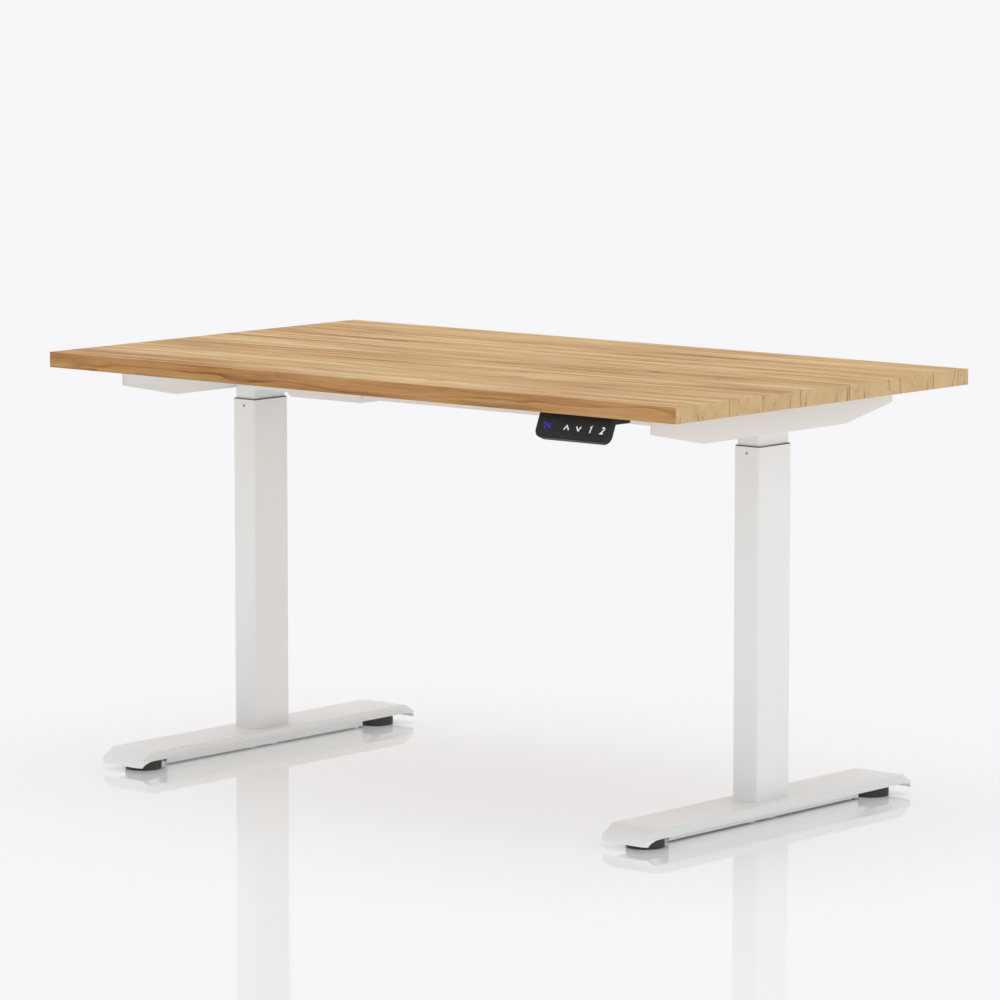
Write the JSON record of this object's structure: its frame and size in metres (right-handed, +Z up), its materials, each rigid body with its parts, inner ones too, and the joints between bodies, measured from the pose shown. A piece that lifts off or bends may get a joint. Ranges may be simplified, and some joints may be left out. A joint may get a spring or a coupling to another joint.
{
  "type": "height adjustable standing desk",
  "caption": "Height adjustable desk: wooden top on a white steel frame with telescoping legs, geared lifting drive, flat feet and a tilted push-button handset.",
  "frame": {"origin": "on the floor, under the middle of the desktop", "axes": "+X to the right along the desktop, -Y towards the user, +Z up"},
  "size_m": [1.4, 0.8, 0.737],
  "materials": {
    "wood": "satin",
    "white_paint": "satin",
    "bush_plastic": "matte",
    "glide_plastic": "matte",
    "motor_steel": "satin",
    "cast_alloy": "satin",
    "gear_brass": "satin",
    "gear_plastic": "satin",
    "steel": "satin",
    "zinc": "satin",
    "black_oxide": "satin",
    "board": "satin",
    "box_plastic": "matte",
    "window": "gloss",
    "face_plastic": "satin",
    "handset_plastic": "matte"
  },
  "bodies": {
    "left_base": {"outer_tube_left": "white_paint", "top_bush_left": "bush_plastic", "bush_screws_left": "black_oxide", "screw_tube_left": "steel", "screw_nut_left": "gear_plastic", "foot_cover_left": "white_paint", "foot_core_left": "white_paint", "foot_bolts_left": "zinc"},
    "top": {"desktop": "wood", "bracket_left": "white_paint", "bracket_right": "white_paint", "crossbeam": "white_paint", "motor_cover": "white_paint", "motor_body": "motor_steel", "motor_saddle": "cast_alloy", "saddle_screws": "zinc", "reducer_case": "cast_alloy", "reducer_lid": "cast_alloy", "inner_tube_left": "white_paint", "inner_tube_right": "white_paint", "lower_bush_left": "bush_plastic", "lower_bush_right": "bush_plastic", "gearbox_left": "cast_alloy", "gearbox_right": "cast_alloy", "screw_bearing_left": "steel", "screw_bearing_right": "steel", "frame_bolts": "zinc", "desk_screws": "zinc", "control_case": "box_plastic", "control_lid": "box_plastic", "control_board": "board", "power_inlet": "box_plastic", "handset_case": "handset_plastic", "handset_panel": "face_plastic", "handset_window": "window", "handset_board": "board"},
    "right_base": {"outer_tube_right": "white_paint", "top_bush_right": "bush_plastic", "bush_screws_right": "black_oxide", "screw_tube_right": "steel", "screw_nut_right": "gear_plastic", "foot_cover_right": "white_paint", "foot_core_right": "white_paint", "foot_bolts_right": "zinc"},
    "drive": {"drive_shaft": "steel", "bevel_pinions": "gear_brass", "shaft_gear": "gear_plastic"},
    "motor_rotor": {"motor_pinion": "gear_brass"},
    "left_screw": {"leadscrew_left": "steel", "bevel_gear_left": "gear_brass"},
    "right_screw": {"leadscrew_right": "steel", "bevel_gear_right": "gear_brass"},
    "key_up": {"key_up": "face_plastic"},
    "key_down": {"key_down": "face_plastic"},
    "key_one": {"key_one": "face_plastic"},
    "key_two": {"key_two": "face_plastic"},
    "glide_left_front": {"glide_left_front": "glide_plastic"},
    "glide_left_back": {"glide_left_back": "glide_plastic"},
    "glide_right_front": {"glide_right_front": "glide_plastic"},
    "glide_right_back": {"glide_right_back": "glide_plastic"}
  },
  "joints": [
    {"name": "lift", "type": "slide", "parent": "left_base", "child": "top", "axis": [0, 0, 1], "range_m": [-0.015, 0.445]},
    {"name": "right_lift", "type": "slide", "parent": "top", "child": "right_base", "axis": [0, 0, -1], "range_m": [-0.015, 0.445]},
    {"name": "shaft_turn", "type": "hinge", "parent": "top", "child": "drive", "pos_m": [0, 0, 0.678], "axis": [1, 0, 0], "range_deg": [-20040, 690]},
    {"name": "motor_turn", "type": "hinge", "parent": "top", "child": "motor_rotor", "pos_m": [-0.34, 0.02225, 0.66901], "axis": [1, 0, 0], "range_deg": [-1380, 40080]},
    {"name": "left_screw_turn", "type": "hinge", "parent": "top", "child": "left_screw", "pos_m": [-0.568, 0, 0.678], "axis": [0, 0, 1], "range_deg": [-690, 20040]},
    {"name": "right_screw_turn", "type": "hinge", "parent": "top", "child": "right_screw", "pos_m": [0.568, 0, 0.678], "axis": [0, 0, 1], "range_deg": [-690, 20040]},
    {"name": "level_left_front", "type": "slide", "parent": "left_base", "child": "glide_left_front", "axis": [0, 0, -1], "range_m": [-0.004, 0.005]},
    {"name": "level_left_back", "type": "slide", "parent": "left_base", "child": "glide_left_back", "axis": [0, 0, -1], "range_m": [-0.004, 0.005]},
    {"name": "level_right_front", "type": "slide", "parent": "right_base", "child": "glide_right_front", "axis": [0, 0, -1], "range_m": [-0.004, 0.005]},
    {"name": "level_right_back", "type": "slide", "parent": "right_base", "child": "glide_right_back", "axis": [0, 0, -1], "range_m": [-0.004, 0.005]},
    {"name": "press_up", "type": "slide", "parent": "top", "child": "key_up", "axis": [0, 0.9171, -0.3987], "range_m": [0, 0.0006], "stiffness_N_per_m": 1500, "springref_m": -0.0006},
    {"name": "press_down", "type": "slide", "parent": "top", "child": "key_down", "axis": [0, 0.9171, -0.3987], "range_m": [0, 0.0006], "stiffness_N_per_m": 1500, "springref_m": -0.0006},
    {"name": "press_one", "type": "slide", "parent": "top", "child": "key_one", "axis": [0, 0.9171, -0.3987], "range_m": [0, 0.0006], "stiffness_N_per_m": 1500, "springref_m": -0.0006},
    {"name": "press_two", "type": "slide", "parent": "top", "child": "key_two", "axis": [0, 0.9171, -0.3987], "range_m": [0, 0.0006], "stiffness_N_per_m": 1500, "springref_m": -0.0006}
  ],
  "couplings": [
    {"joint": "right_lift", "follows": "lift", "ratio": 1},
    {"joint": "left_screw_turn", "follows": "lift", "rad_per_m": 785.4},
    {"joint": "right_screw_turn", "follows": "lift", "rad_per_m": 785.4},
    {"joint": "shaft_turn", "follows": "lift", "rad_per_m": -785.4},
    {"joint": "motor_turn", "follows": "lift", "rad_per_m": 1570.8}
  ]
}
